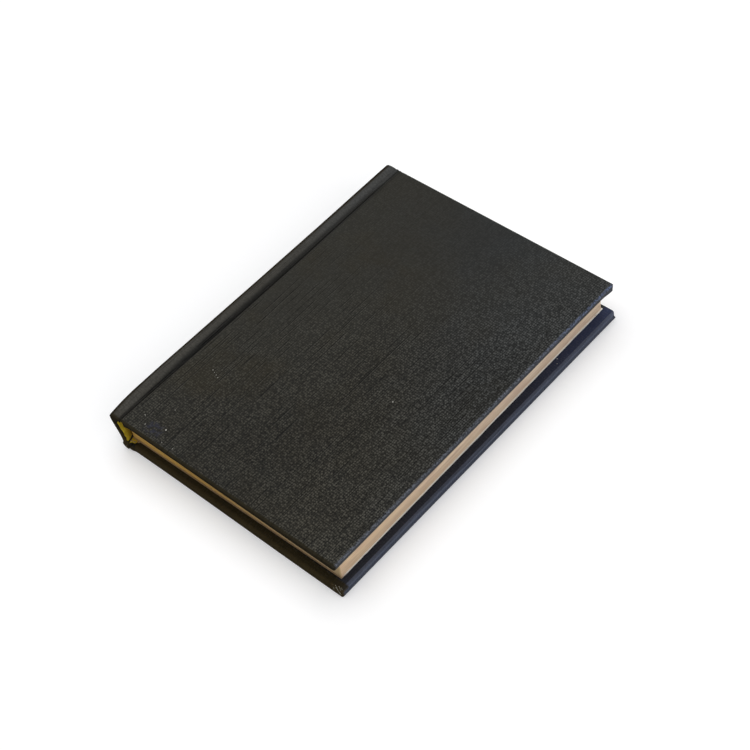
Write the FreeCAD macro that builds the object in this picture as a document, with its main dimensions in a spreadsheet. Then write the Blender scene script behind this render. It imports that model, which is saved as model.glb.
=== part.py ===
import FreeCAD, Part
import Sketcher
import os

# Small case-bound notebook: a sewn page block held in a cloth-covered case. Units are millimetres. The
# closed book lies on its back cover: +X runs from the spine to the fore edge, +Y from tail to head, +Z up,
# and the origin is under the middle of the book, on the surface it lies on.

SIZES = [
    # name, value, what it is
    ("cover_width", 110.6, "face of the spine to the fore edge of a cover"),
    ("cover_height", 154.0, "tail edge to head edge of the covers"),
    ("book_thickness", 17.8, "outer face of one cover to the other"),
    ("board_thickness", 2.2, "greyboard inside a cover"),
    ("board_corner_radius", 1.2, "worn corner of a board, seen from above"),
    ("cloth_thickness", 0.4, "book cloth with its glue"),
    ("cloth_arris_radius", 0.7, "rounding of the cloth over the board's edges"),
    ("joint_arris_radius", 1.1, "softer rounding where the cloth leaves the board for the joint"),
    ("turn_in_width", 14.0, "cloth folded over inside the covers and the spine"),
    ("mitre_gap", 0.2, "slit between two turn-ins where they meet at a corner"),
    ("glue_line", 0.05, "play between a board and the cloth round it"),
    ("joint_width", 7.6, "face of the spine to the spine edge of a cover"),
    ("joint_slit", 0.5, "gap between the joint's cloth and the cover that turns past it"),
    ("shoulder_width", 4.4, "raised shoulder of the spine, before the joint groove"),
    ("shoulder_radius", 1.3, "rounding of the shoulder's cloth"),
    ("groove_depth", 1.6, "outer face of a cover down to the bottom of the joint groove"),
    ("groove_radius", 0.5, "rounding at the bottom of the joint groove"),
    ("foot_wall", 0.1, "flat of the shoulder's side, between its rounding and the groove's"),
    ("inlay_thickness", 0.5, "card strip that stiffens the spine"),
    ("liner_thickness", 0.4, "paper lining inside the hollow of the spine"),
    ("liner_play", 0.1, "play between the lining and the shoulder's cloth"),
    ("lining_thickness", 0.3, "gauze and glue on the back of the page block"),
    ("endpaper_thickness", 0.2, "pasted-down or free leaf of an endpaper"),
    ("paste_margin", 3.6, "cloth left bare round a pasted-down leaf"),
    ("cover_play", 0.1, "air between a closed cover and the page block"),
    ("hollow_depth", 4.2, "face of the spine to the back of the page block"),
    ("fore_square", 3.8, "cover that stands past the pages at the fore edge"),
    ("tail_square", 4.2, "cover that stands past the pages at the tail"),
    ("head_square", 2.7, "cover that stands past the pages at the head"),
    ("block_skew", 0.4, "degrees by which the worn page block sits askew in its case"),
    ("section_count", 6, "folded sections sewn together"),
    ("fold_depth", 0.6, "depth of the valley between two sections at the back"),
    ("fold_width", 0.5, "width of that valley"),
]

doc = FreeCAD.newDocument("notebook")
sheet = doc.addObject("Spreadsheet::Sheet", "Sizes")
for row, (name, value, meaning) in enumerate(SIZES, start=1):
    sheet.set(f"A{row}", name)
    sheet.set(f"B{row}", str(value))
    sheet.set(f"C{row}", meaning)
    sheet.setAlias(f"B{row}", name)
doc.recompute()

# Sizes that follow from others, as expressions on the sheet.
COVER = "(Sizes.board_thickness + 2 * Sizes.cloth_thickness)"
HALF_HEIGHT = "(Sizes.cover_height / 2)"
BLOCK_BOTTOM = f"({COVER} + Sizes.endpaper_thickness + Sizes.cover_play)"
TEXT_BOTTOM = f"({BLOCK_BOTTOM} + Sizes.endpaper_thickness)"
TEXT_THICKNESS = f"(Sizes.book_thickness - 2 * {TEXT_BOTTOM})"
PAGE_WIDTH = "(Sizes.cover_width - Sizes.hollow_depth - Sizes.fore_square)"
PAGE_HEIGHT = "(Sizes.cover_height - Sizes.tail_square - Sizes.head_square)"
SPINE_FACE = "(-Sizes.cover_width / 2)"
INNER_CLOTH = "(2 * Sizes.cloth_thickness + Sizes.inlay_thickness)"
GROOVE_FLOOR = "Sizes.groove_depth"
FOOT_RADIUS = "(Sizes.groove_depth - Sizes.groove_radius - Sizes.foot_wall)"

# How close two lengths or a direction must be to count as the same, and the least that a cut takes away.
SAME_LENGTH = 0.01
SAME_DIRECTION = 0.99
LEAST_CUT = 0.01


def origin_plane(body, role):
    """One of the body's own planes or axes."""
    return next(item for item in body.Origin.OriginFeatures if item.Role == role)


def new_body(name):
    """A sub-part, labelled with its own name."""
    body = doc.addObject("PartDesign::Body", name)
    body.Label = name
    return body


def place(body, x_place, y_place, z_place):
    """Put a sub-part at its place in the book."""
    body.setExpression("Placement.Base.x", x_place)
    body.setExpression("Placement.Base.y", y_place)
    body.setExpression("Placement.Base.z", z_place)


def place_with_block(body, z_place):
    """Put a sub-part on the middle of the page block, turned with it in the case."""
    middle = f"{SPINE_FACE} + Sizes.hollow_depth + {PAGE_WIDTH} / 2"
    place(body, middle, "(Sizes.tail_square - Sizes.head_square) / 2", z_place)
    body.Placement.Rotation = FreeCAD.Rotation(FreeCAD.Vector(0, 0, 1), 1)
    body.setExpression("Placement.Rotation.Angle", "Sizes.block_skew")


def outline_sketch(body, role, name, outlines, height="0"):
    """A sketch of closed outlines whose corners are pairs of expressions, on a plane of the body."""
    sketch = body.newObject("Sketcher::SketchObject", name)
    sketch.AttachmentSupport = (origin_plane(body, role), [""])
    sketch.MapMode = "FlatFace"
    sketch.setExpression("AttachmentOffset.Base.z", height)
    for corners in outlines:
        points = [
            FreeCAD.Vector(float(sheet.evalExpression(across)), float(sheet.evalExpression(up)), 0)
            for across, up in corners
        ]
        first = sketch.GeometryCount
        for start, end in zip(points, points[1:] + points[:1]):
            sketch.addGeometry(Part.LineSegment(start, end), False)
        for index, (across, up) in enumerate(corners):
            line = first + index
            following = first + (index + 1) % len(corners)
            sketch.addConstraint(Sketcher.Constraint("Coincident", line, 2, following, 1))
            for kind, value, size in (
                ("DistanceX", points[index].x, across),
                ("DistanceY", points[index].y, up),
            ):
                constraint = sketch.addConstraint(Sketcher.Constraint(kind, -1, 1, line, 1, value))
                sketch.setExpression(f"Constraints[{constraint}]", size)
    return sketch


def pad(body, sketch, name, length, both_ways=False):
    """Thicken a sketch, along its plane's own direction or to both sides of it."""
    feature = body.newObject("PartDesign::Pad", name)
    feature.Profile = sketch
    feature.SideType = "Symmetric" if both_ways else "One side"
    feature.setExpression("Length", length)
    doc.recompute()
    return feature


def cut(body, sketch, name, length, both_ways=False):
    """Cut a sketch out of the solid above it, or to both sides of it."""
    before = body.Shape.Volume
    feature = body.newObject("PartDesign::Pocket", name)
    feature.Profile = sketch
    feature.SideType = "Symmetric" if both_ways else "One side"
    feature.Reversed = not both_ways
    feature.setExpression("Length", length)
    doc.recompute()
    if not feature.Shape.Volume < before - LEAST_CUT:
        raise RuntimeError(f"{name} cuts nothing")
    return feature


def round_edges(body, name, radius, wanted):
    """Round those edges of the solid so far whose middle and direction the test wants."""
    solid = body.Tip
    names = []
    for index, edge in enumerate(solid.Shape.Edges, start=1):
        if edge.Curve.TypeId != "Part::GeomLine":
            continue
        start, end = (vertex.Point for vertex in edge.Vertexes)
        if wanted((start + end) / 2, (end - start).normalize()):
            names.append(f"Edge{index}")
    feature = body.newObject("PartDesign::Fillet", name)
    feature.Base = (solid, names)
    feature.setExpression("Radius", radius)
    doc.recompute()
    return feature


def size(expression):
    """The number that an expression on the sheet gives."""
    return float(sheet.evalExpression(expression))


def near(value, target):
    """Whether two lengths are the same to a hundredth of a millimetre."""
    return abs(value - target) < SAME_LENGTH


def rectangle(left, right, low, high):
    """The four corners of an upright rectangle."""
    return [(left, low), (right, low), (right, high), (left, high)]


def omega(face, wall, foot, edge, floor):
    """Outline of a strip bent like the spine's cloth, symmetric about the middle of the book's thickness.

    It runs up the spine from face, over both shoulders to foot, and out along both joints to edge; floor is
    where the shoulder comes down to, and wall is how thick the strip is.
    """
    low = [
        (edge, floor),
        (foot, floor),
        (foot, face),
        (face, face),
    ]
    inner_low = [
        (f"{face} + {wall}", f"{face} + {wall}"),
        (f"{foot} - {wall}", f"{face} + {wall}"),
        (f"{foot} - {wall}", f"{floor} + {wall}"),
        (edge, f"{floor} + {wall}"),
    ]
    turned = [(across, f"Sizes.book_thickness - ({up})") for across, up in low]
    inner_turned = [(across, f"Sizes.book_thickness - ({up})") for across, up in inner_low]
    return low + turned[::-1] + inner_turned[::-1] + inner_low


def make_page_block():
    """The sewn text block: flat on five sides, with a valley between each two sections at its back."""
    body = new_body("page_block")
    half_width = f"({PAGE_WIDTH} / 2)"
    half_height = f"({PAGE_HEIGHT} / 2)"
    pages = outline_sketch(
        body,
        "XY_Plane",
        "Pages",
        [rectangle(f"-{half_width}", half_width, f"-{half_height}", half_height)],
    )
    pad(body, pages, "PageStack", TEXT_THICKNESS)
    section = f"({TEXT_THICKNESS} / Sizes.section_count)"
    valley = outline_sketch(
        body,
        "XZ_Plane",
        "FoldValley",
        [
            [
                (f"-{half_width} - Sizes.fold_depth", f"{section} - Sizes.fold_width"),
                (f"-{half_width} + Sizes.fold_depth", section),
                (f"-{half_width} - Sizes.fold_depth", f"{section} + Sizes.fold_width"),
            ]
        ],
    )
    first = cut(body, valley, "FirstValley", PAGE_HEIGHT, both_ways=True)
    valleys = body.newObject("PartDesign::LinearPattern", "Valleys")
    valleys.Originals = [first]
    valleys.Direction = (origin_plane(body, "Z_Axis"), [""])
    valleys.setExpression("Occurrences", "Sizes.section_count - 1")
    valleys.setExpression("Length", f"{section} * (Sizes.section_count - 2)")
    body.Tip = valleys
    place_with_block(body, TEXT_BOTTOM)


def make_flyleaf(name, z_place):
    """The free half of an endpaper: one leaf as large as the pages."""
    body = new_body(name)
    half_width = f"({PAGE_WIDTH} / 2)"
    half_height = f"({PAGE_HEIGHT} / 2)"
    leaf = outline_sketch(
        body,
        "XY_Plane",
        f"{name}_outline",
        [rectangle(f"-{half_width}", half_width, f"-{half_height}", half_height)],
    )
    pad(body, leaf, f"{name}_paper", "Sizes.endpaper_thickness")
    place_with_block(body, z_place)


def make_spine_lining():
    """Gauze and glue on the back of the sections, from one flyleaf to the other."""
    body = new_body("spine_lining")
    back = f"(-{PAGE_WIDTH} / 2)"
    half_height = f"({PAGE_HEIGHT} / 2)"
    strip = outline_sketch(
        body,
        "XY_Plane",
        "LiningStrip",
        [rectangle(f"{back} - Sizes.lining_thickness", back, f"-{half_height}", half_height)],
    )
    pad(body, strip, "Gauze", f"Sizes.book_thickness - 2 * {BLOCK_BOTTOM}")
    place_with_block(body, BLOCK_BOTTOM)


def make_spine_cloth():
    """Cloth over the spine: shoulders and joint grooves in one bent strip, turned in at head and tail."""
    body = new_body("spine_cloth")
    face = "0"
    foot = "Sizes.shoulder_width"
    edge = "(Sizes.joint_width - Sizes.joint_slit)"
    profile = outline_sketch(
        body,
        "XZ_Plane",
        "CaseSection",
        [omega(face, "Sizes.cloth_thickness", foot, edge, GROOVE_FLOOR)],
    )
    pad(body, profile, "CaseStrip", "Sizes.cover_height", both_ways=True)

    thickness = size("Sizes.book_thickness")
    wall = size("Sizes.cloth_thickness")
    shoulder = size(foot)
    floor = size(GROOVE_FLOOR)

    def along_y(middle, direction, spot):
        """Whether an edge runs from head to tail over a spot, or over its mirror image."""
        across, up = spot
        upright = near(middle.z, up) or near(middle.z, thickness - up)
        return abs(direction.y) > SAME_DIRECTION and near(middle.x, across) and upright

    for name, radius, spot in (
        ("ShoulderOutside", "Sizes.shoulder_radius", (0, 0)),
        ("ShoulderInside", "Sizes.shoulder_radius - Sizes.cloth_thickness", (wall, wall)),
        ("FootOutside", FOOT_RADIUS, (shoulder, 0)),
        ("FootInside", f"{FOOT_RADIUS} - Sizes.cloth_thickness", (shoulder - wall, wall)),
        ("GrooveOutside", "Sizes.groove_radius", (shoulder, floor)),
        ("GrooveInside", "Sizes.groove_radius + Sizes.cloth_thickness", (shoulder - wall, floor + wall)),
    ):
        round_edges(body, name, radius, lambda middle, direction: along_y(middle, direction, spot))

    folded = []
    for end in ("", "-"):
        brink = f"{end}{HALF_HEIGHT}"
        hem = f"{end}({HALF_HEIGHT} - Sizes.turn_in_width)"
        fold = f"{end}({HALF_HEIGHT} - Sizes.cloth_thickness)"
        under = "Sizes.cloth_thickness + Sizes.inlay_thickness"
        folded.append(
            [
                ("Sizes.cloth_thickness / 2", brink),
                (INNER_CLOTH, brink),
                (INNER_CLOTH, hem),
                (under, hem),
                (under, fold),
                ("Sizes.cloth_thickness / 2", fold),
            ]
        )
    turn_ins = outline_sketch(body, "XY_Plane", "SpineTurnIns", folded, height="Sizes.shoulder_radius")
    pad(body, turn_ins, "TurnedInCloth", "Sizes.book_thickness - 2 * Sizes.shoulder_radius")
    place(body, SPINE_FACE, "0", "0")


def make_spine_inlay():
    """Card strip between the spine's cloth and its turn-ins."""
    inlay = doc.addObject("Part::Box", "spine_inlay")
    inlay.Label = "spine_inlay"
    inlay.setExpression("Length", "Sizes.inlay_thickness")
    inlay.setExpression("Width", "Sizes.cover_height - 2 * Sizes.cloth_thickness")
    inlay.setExpression("Height", "Sizes.book_thickness - 2 * Sizes.shoulder_radius")
    place(
        inlay,
        f"{SPINE_FACE} + Sizes.cloth_thickness",
        f"Sizes.cloth_thickness - {HALF_HEIGHT}",
        "Sizes.shoulder_radius",
    )


def make_spine_liner():
    """Paper that lines the hollow and follows the inside of both shoulders up to the page block."""
    body = new_body("spine_liner")
    face = INNER_CLOTH
    low = "(Sizes.cloth_thickness + Sizes.liner_play)"
    foot = f"(Sizes.shoulder_width - {low})"
    wall = "Sizes.liner_thickness"
    lip = BLOCK_BOTTOM
    lower = [(foot, lip), (foot, low), (face, low)]
    inner = [
        (f"{face} + {wall}", f"{low} + {wall}"),
        (f"{foot} - {wall}", f"{low} + {wall}"),
        (f"{foot} - {wall}", lip),
    ]
    upper = [(across, f"Sizes.book_thickness - {up}") for across, up in lower]
    inner_upper = [(across, f"Sizes.book_thickness - ({up})") for across, up in inner]
    outline = lower + upper[::-1] + inner_upper[::-1] + inner
    profile = outline_sketch(body, "XZ_Plane", "LinerSection", [outline])
    pad(body, profile, "LinerStrip", "Sizes.cover_height - 2 * Sizes.cloth_thickness", both_ways=True)

    thickness = size("Sizes.book_thickness")
    base = size(low)
    outer_feet = (size(foot), size(face))
    inner_feet = (size(foot) - size(wall), size(face) + size(wall))

    def bend(middle, direction, feet, level):
        """Whether an edge is one of the four bends of the strip, on its outside or its inside."""
        upright = near(middle.z, level) or near(middle.z, thickness - level)
        at_foot = any(near(middle.x, across) for across in feet)
        return abs(direction.y) > SAME_DIRECTION and upright and at_foot

    round_edges(
        body, "LinerOutside", "Sizes.shoulder_radius - Sizes.cloth_thickness",
        lambda middle, direction: bend(middle, direction, outer_feet, base),
    )
    round_edges(
        body, "LinerInside", "Sizes.shoulder_radius - Sizes.cloth_thickness - Sizes.liner_thickness",
        lambda middle, direction: bend(middle, direction, inner_feet, base + size(wall)),
    )
    place(body, SPINE_FACE, "0", "0")


def place_cover(body, side, z_in_cover):
    """Lay a cover's piece at the back of the book, or turn it over about the book's length for the front."""
    if side == "back":
        place(body, SPINE_FACE, "0", z_in_cover)
    else:
        place(body, SPINE_FACE, "0", f"Sizes.book_thickness - {z_in_cover}")
        body.Placement.Rotation = FreeCAD.Rotation(FreeCAD.Vector(1, 0, 0), 180)


def make_board(side):
    """Greyboard that stiffens a cover, with two worn corners at its fore edge."""
    body = new_body(f"{side}_board")
    inset = "(Sizes.cloth_thickness + Sizes.glue_line)"
    left = f"(Sizes.joint_width + {inset})"
    right = f"(Sizes.cover_width - {inset})"
    top = f"({HALF_HEIGHT} - {inset})"
    outline = outline_sketch(
        body, "XY_Plane", f"{side}_board_outline", [rectangle(left, right, f"-{top}", top)]
    )
    pad(body, outline, f"{side}_greyboard", "Sizes.board_thickness")
    edge = size(right)
    round_edges(
        body,
        f"{side}_board_corners",
        "Sizes.board_corner_radius",
        lambda middle, direction: abs(direction.z) > SAME_DIRECTION and near(middle.x, edge),
    )
    place_cover(body, side, "Sizes.cloth_thickness")


def make_cover_cloth(side):
    """Cloth drawn over a board and folded in along its head, tail and fore edge."""
    body = new_body(f"{side}_cover_cloth")
    left = "Sizes.joint_width"
    right = "Sizes.cover_width"
    outline = outline_sketch(
        body,
        "XY_Plane",
        f"{side}_cloth_outline",
        [rectangle(left, right, f"-{HALF_HEIGHT}", HALF_HEIGHT)],
    )
    pad(body, outline, f"{side}_covering", COVER)
    joint_edge, fore_edge = size(left), size(right)
    inner_face, half_height = size(COVER), size(HALF_HEIGHT)
    round_edges(
        body,
        f"{side}_cloth_corners",
        "Sizes.board_corner_radius + Sizes.cloth_thickness",
        lambda middle, direction: abs(direction.z) > SAME_DIRECTION and near(middle.x, fore_edge),
    )
    round_edges(
        body,
        f"{side}_joint_arris",
        "Sizes.joint_arris_radius",
        lambda middle, direction: abs(direction.y) > SAME_DIRECTION
        and near(middle.x, joint_edge)
        and near(middle.z, 0),
    )
    round_edges(
        body,
        f"{side}_cloth_arris",
        "Sizes.cloth_arris_radius",
        lambda middle, direction: abs(direction.y) > SAME_DIRECTION and near(middle.x, fore_edge),
    )

    pocket_left = f"({left} + Sizes.cloth_thickness)"
    pocket_right = f"({right} - Sizes.cloth_thickness)"
    pocket_top = f"({HALF_HEIGHT} - Sizes.cloth_thickness)"
    board_room = outline_sketch(
        body,
        "XY_Plane",
        f"{side}_board_room",
        [rectangle(pocket_left, pocket_right, f"-{pocket_top}", pocket_top)],
        height="Sizes.cloth_thickness",
    )
    cut(body, board_room, f"{side}_board_pocket", "Sizes.board_thickness")
    window = outline_sketch(
        body,
        "XY_Plane",
        f"{side}_turn_in_window",
        [
            rectangle(
                pocket_left,
                f"({right} - Sizes.turn_in_width)",
                f"-({HALF_HEIGHT} - Sizes.turn_in_width)",
                f"({HALF_HEIGHT} - Sizes.turn_in_width)",
            )
        ],
        height="(Sizes.cloth_thickness + Sizes.board_thickness)",
    )
    cut(body, window, f"{side}_turn_ins", "Sizes.cloth_thickness")

    slits = []
    for end in ("", "-"):
        near_low, near_high = (
            f"{end}({HALF_HEIGHT} - Sizes.turn_in_width {sign} Sizes.mitre_gap / 2)" for sign in "-+"
        )
        far_low, far_high = (
            f"{end}({HALF_HEIGHT} - Sizes.board_corner_radius {sign} Sizes.mitre_gap / 2)" for sign in "-+"
        )
        slit_start = f"({right} - Sizes.turn_in_width)"
        slit_end = f"({right} - Sizes.board_corner_radius)"
        slits.append(
            [(slit_start, near_low), (slit_end, far_low), (slit_end, far_high), (slit_start, near_high)]
        )
    mitres = outline_sketch(
        body,
        "XY_Plane",
        f"{side}_mitres",
        slits,
        height="(Sizes.cloth_thickness + Sizes.board_thickness)",
    )
    cut(body, mitres, f"{side}_mitred_corners", "Sizes.cloth_thickness")
    place_cover(body, side, "0")


def make_pastedown(side):
    """The pasted half of an endpaper: over the turn-ins, and pressed down on the board between them."""
    body = new_body(f"{side}_pastedown")
    left = "Sizes.joint_width"
    right = "(Sizes.cover_width - Sizes.paste_margin)"
    top = f"({HALF_HEIGHT} - Sizes.paste_margin)"
    leaf = outline_sketch(
        body,
        "XY_Plane",
        f"{side}_leaf",
        [rectangle(left, right, f"-{top}", top)],
        height="Sizes.cloth_thickness",
    )
    pad(body, leaf, f"{side}_leaf_paper", "Sizes.endpaper_thickness")
    window_left = "(Sizes.joint_width + Sizes.cloth_thickness)"
    window_right = "(Sizes.cover_width - Sizes.turn_in_width)"
    window_top = f"({HALF_HEIGHT} - Sizes.turn_in_width)"
    pressed = outline_sketch(
        body,
        "XY_Plane",
        f"{side}_pressed",
        [rectangle(window_left, window_right, f"-{window_top}", window_top)],
    )
    pad(body, pressed, f"{side}_pressed_paper", "Sizes.cloth_thickness + Sizes.endpaper_thickness")
    paper = "Sizes.endpaper_thickness"
    dip = outline_sketch(
        body,
        "XY_Plane",
        f"{side}_dip",
        [
            rectangle(
                f"({window_left} + {paper})",
                f"({window_right} - {paper})",
                f"-({window_top} - {paper})",
                f"({window_top} - {paper})",
            )
        ],
        height=paper,
    )
    cut(body, dip, f"{side}_dip_in_paper", "Sizes.cloth_thickness")
    place_cover(body, side, "(Sizes.cloth_thickness + Sizes.board_thickness)")


make_page_block()
make_flyleaf("back_flyleaf", BLOCK_BOTTOM)
make_flyleaf("front_flyleaf", f"Sizes.book_thickness - {TEXT_BOTTOM}")
make_spine_lining()
make_spine_cloth()
make_spine_inlay()
make_spine_liner()
for side in ("back", "front"):
    make_board(side)
    make_cover_cloth(side)
    make_pastedown(side)

doc.recompute()
for item in doc.Objects:
    if "Invalid" in item.State or "Error" in item.State:
        raise RuntimeError(f"{item.Label} has failed: {item.State}")
sub_parts = [item for item in doc.Objects if item.TypeId in ("PartDesign::Body", "Part::Box")]
for item in sub_parts:
    if item.Shape.isNull() or not item.Shape.isValid():
        raise RuntimeError(f"{item.Label} is not a sound solid")

os.makedirs("parts", exist_ok=True)
for item in sub_parts:
    item.Shape.exportStep(f"parts/{item.Label}.step")
    print(f"{item.Label}: {item.Shape.Volume:.1f} cubic mm, {len(item.Shape.Solids)} solid")
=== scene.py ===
import math
import random

import bmesh
import bpy
import numpy as np
from mathutils import Matrix, Vector


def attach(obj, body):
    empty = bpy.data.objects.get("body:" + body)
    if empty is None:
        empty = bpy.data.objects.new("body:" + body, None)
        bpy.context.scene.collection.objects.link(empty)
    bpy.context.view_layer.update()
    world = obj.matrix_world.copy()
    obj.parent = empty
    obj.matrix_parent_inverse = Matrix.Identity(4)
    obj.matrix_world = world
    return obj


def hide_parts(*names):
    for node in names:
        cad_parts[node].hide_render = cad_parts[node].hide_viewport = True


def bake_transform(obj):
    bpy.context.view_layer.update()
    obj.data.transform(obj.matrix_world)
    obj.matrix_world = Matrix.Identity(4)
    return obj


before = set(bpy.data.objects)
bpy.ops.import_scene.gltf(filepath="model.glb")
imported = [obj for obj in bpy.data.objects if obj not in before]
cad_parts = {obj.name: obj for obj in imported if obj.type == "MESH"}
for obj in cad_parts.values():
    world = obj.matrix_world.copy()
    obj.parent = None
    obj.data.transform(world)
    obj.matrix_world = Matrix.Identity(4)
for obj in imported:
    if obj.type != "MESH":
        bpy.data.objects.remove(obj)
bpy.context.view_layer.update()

MM = 0.001

# ---- Greyboard ---------------------------------------------------------------
# Two boards stiffen the covers. They are millboard, a dense grey pulp of waste
# paper with darker fibres in it, and lie glued inside the folded cloth.


def new_material(name, roughness, specular):
    """A material with one Principled surface, and its node tree and that surface."""
    finish = bpy.data.materials.new(name)
    finish.use_nodes = True
    tree = finish.node_tree
    surface = tree.nodes["Principled BSDF"]
    surface.inputs["Roughness"].default_value = roughness
    surface.inputs["Specular IOR Level"].default_value = specular
    return finish, tree, surface


def keep_place(piece, turned=False):
    """Stores where each point of a piece lies on the closed book, in millimetres.

    A half that is still to be turned under is stored as it will lie.
    """
    mesh = piece.data
    places = np.empty(len(mesh.vertices) * 3)
    mesh.vertices.foreach_get("co", places)
    places /= MM
    if turned:
        places[2::3] = BOOK_THICKNESS - places[2::3]
    mesh.attributes.new("place", "FLOAT_VECTOR", "POINT").data.foreach_set("vector", places)


def place_pattern(tree, stretch=(1, 1, 1), shift=(0, 0, 0)):
    """The stored place of a point, in millimetres times a stretch, which bends with its piece."""
    place = tree.nodes.new("ShaderNodeAttribute")
    place.attribute_name = "place"
    mapping = tree.nodes.new("ShaderNodeMapping")
    mapping.inputs["Scale"].default_value = stretch
    mapping.inputs["Location"].default_value = shift
    tree.links.new(place.outputs["Vector"], mapping.inputs["Vector"])
    return mapping.outputs["Vector"]


def noise(tree, where, scale, detail=3.0, roughness=0.55):
    """Cloudy noise at so many turns a millimetre."""
    node = tree.nodes.new("ShaderNodeTexNoise")
    node.inputs["Scale"].default_value = scale
    node.inputs["Detail"].default_value = detail
    node.inputs["Roughness"].default_value = roughness
    tree.links.new(where, node.inputs["Vector"])
    return node.outputs["Fac"]


def window(tree, value, low, high):
    """0 below low, 1 above high and a smooth rise between."""
    node = tree.nodes.new("ShaderNodeMapRange")
    node.interpolation_type = "SMOOTHSTEP"
    node.inputs["From Min"].default_value = low
    node.inputs["From Max"].default_value = high
    tree.links.new(value, node.inputs["Value"])
    return node.outputs["Result"]


def work_out(tree, operation, first, second):
    """A sum of two values, either of which may be a plain number."""
    node = tree.nodes.new("ShaderNodeMath")
    node.operation = operation
    for socket, value in zip(node.inputs, (first, second)):
        if isinstance(value, (int, float)):
            socket.default_value = value
        else:
            tree.links.new(value, socket)
    return node.outputs["Value"]


def linear(red, green, blue):
    """A colour given as it looks on a screen, 0 to 255, as the shader takes it."""
    parts = [c / 255 for c in (red, green, blue)]
    return [c / 12.92 if c <= 0.04045 else ((c + 0.055) / 1.055) ** 2.4 for c in parts] + [1]


def tint(tree, share, below, above):
    """A colour between two others, each a shade on the screen or another colour's output."""
    node = tree.nodes.new("ShaderNodeMix")
    node.data_type = "RGBA"
    tree.links.new(share, node.inputs["Factor"])
    for socket, colour in ((node.inputs["A"], below), (node.inputs["B"], above)):
        if isinstance(colour, tuple):
            socket.default_value = linear(*colour)
        else:
            tree.links.new(colour, socket)
    return node.outputs["Result"]


def raise_grain(tree, surface, height, depth):
    """Lets a height, 0 to 1, stand so many millimetres proud of the surface."""
    bump = tree.nodes.new("ShaderNodeBump")
    bump.inputs["Distance"].default_value = depth * MM
    bump.inputs["Strength"].default_value = 1.0
    tree.links.new(height, bump.inputs["Height"])
    tree.links.new(bump.outputs["Normal"], surface.inputs["Normal"])


def box_of(node):
    """The lowest and the highest corner of one of the frame's solids, in millimetres."""
    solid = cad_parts[node]
    corners = [solid.matrix_world @ Vector(corner) / MM for corner in solid.bound_box]
    return [[round(pick(measures), 2) for measures in zip(*corners)] for pick in (min, max)]


# The closed book lies along Y with its spine towards -X. Its edges and levels, in
# millimetres, are those of the solids. INSIDE is the front cover's inner face.
cover_low, cover_high = box_of("front_cover_cloth")
COVER_LENGTH = cover_high[1] - cover_low[1]
FORE_EDGE = cover_high[0]
BOARD_EDGE = cover_low[0]
SPINE_FACE = box_of("spine_cloth")[0][0]
BOOK_THICKNESS = cover_high[2]
MID_HEIGHT = BOOK_THICKNESS / 2
INSIDE = cover_low[2]
CLOTH = 0.4
GLUE = 0.05
BOARD_TRIM = CLOTH + GLUE
BOARD_ROUNDING = 0.35


def open_piece(piece, mode):
    """Opens a piece for editing, with nothing selected."""
    bpy.ops.object.select_all(action="DESELECT")
    piece.select_set(True)
    bpy.context.view_layer.objects.active = piece
    bpy.ops.object.mode_set(mode="EDIT")
    choose(mode)


def choose(mode):
    """Picks points, edges or faces from here on, and none of them yet."""
    bpy.ops.mesh.select_mode(type=mode)
    bpy.ops.mesh.select_all(action="DESELECT")


def pick_points(piece, wanted):
    """Selects the points that a test on their place in millimetres wants."""
    choose("VERT")
    cage = bmesh.from_edit_mesh(piece.data)
    for point in cage.verts:
        point.select_set(wanted(point.co / MM))
    cage.select_flush_mode()
    bmesh.update_edit_mesh(piece.data)


def pick_edges(piece, wanted):
    """Selects the edges that a test on their middle and their span in millimetres wants."""
    choose("EDGE")
    cage = bmesh.from_edit_mesh(piece.data)
    for edge in cage.edges:
        a, b = (end.co / MM for end in edge.verts)
        span = b - a
        edge.select_set(wanted((a + b) / 2, Vector([abs(c) for c in span])))
    cage.select_flush_mode()
    bmesh.update_edit_mesh(piece.data)


def pick_faces(piece, wanted):
    """Selects the faces that a test on their middle in millimetres and their normal wants."""
    choose("FACE")
    cage = bmesh.from_edit_mesh(piece.data)
    for face in cage.faces:
        face.select_set(wanted(face.calc_center_median() / MM, face.normal))
    cage.select_flush_mode()
    bmesh.update_edit_mesh(piece.data)


def grow(x=0.0, y=0.0, z=0.0):
    """Extrudes what is selected by a move in millimetres."""
    bpy.ops.mesh.extrude_region_move(
        TRANSFORM_OT_translate={"value": (x * MM, y * MM, z * MM)}
    )


def cut_at(axis, at):
    """Cuts all of the piece with a plane across one axis, at so many millimetres."""
    normal = Vector([letter == axis for letter in "XYZ"])
    bpy.ops.mesh.select_all(action="SELECT")
    bpy.ops.mesh.bisect(plane_co=normal * (at * MM), plane_no=normal)


def divide(piece, axis, longer_than, cuts):
    """Divides the edges that run along one axis for more than a length in millimetres."""
    pick_edges(piece, lambda middle, span: span["XYZ".index(axis)] > longer_than)
    bpy.ops.mesh.subdivide(number_cuts=cuts)


def close_piece(angle=40):
    """Ends the editing of the open piece, which is shaded softly up to the angle in degrees."""
    bpy.ops.object.mode_set(mode="OBJECT")
    bpy.ops.object.shade_smooth_by_angle(angle=math.radians(angle))


def block_out(name, low, high):
    """A block between two corners in millimetres, with its place in its mesh."""
    bpy.ops.object.select_all(action="DESELECT")
    middle = [(a + b) / 2 * MM for a, b in zip(low, high)]
    sides = [(b - a) * MM for a, b in zip(low, high)]
    bpy.ops.mesh.primitive_cube_add(size=1, location=middle, scale=sides)
    piece = bpy.context.object
    piece.name = piece.data.name = name
    bpy.ops.object.transform_apply(location=True, rotation=True, scale=True)
    return piece


def soften(piece, levels):
    """Applies a subdivision surface."""
    smooth = piece.modifiers.new("soft_folds", "SUBSURF")
    smooth.levels = smooth.render_levels = levels
    bpy.ops.object.modifier_apply(modifier=smooth.name)


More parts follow.
